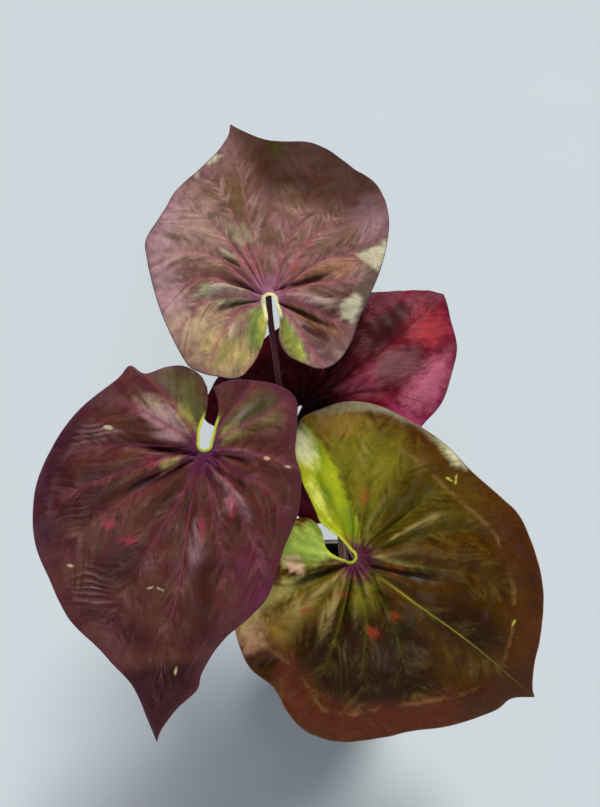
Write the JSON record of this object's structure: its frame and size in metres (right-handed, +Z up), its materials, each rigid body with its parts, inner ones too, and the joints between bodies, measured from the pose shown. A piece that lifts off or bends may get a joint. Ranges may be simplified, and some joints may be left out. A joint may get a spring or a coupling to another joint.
{
  "type": "potted caladium",
  "caption": "Potted caladium: large heart-shaped blades in maroon, burgundy, olive and crimson on slender stalks that rise from a tuber in a plain nursery pot of soil.",
  "frame": {"origin": "middle of the pot's flat base, on the surface that the pot stands on", "axes": "+Z up; -Y towards the side that the blades face"},
  "size_m": [0.3937, 0.422, 0.5215],
  "materials": {
    "pot_plastic": "satin",
    "soil": "matte",
    "tuber": "matte",
    "stalk_top": "satin",
    "stalk_left": "satin",
    "stalk_low": "satin",
    "stalk_back": "satin",
    "leaf_top": "satin",
    "leaf_left": "satin",
    "leaf_low": "satin",
    "leaf_back": "satin"
  },
  "bodies": {
    "root": {"pot": "pot_plastic", "soil": "soil", "tuber": "tuber", "petiole_top": "stalk_top", "petiole_left": "stalk_left", "petiole_low": "stalk_low", "petiole_back": "stalk_back", "blade_top": "leaf_top", "blade_left": "leaf_left", "blade_low": "leaf_low", "blade_back": "leaf_back"}
  },
  "joints": []
}
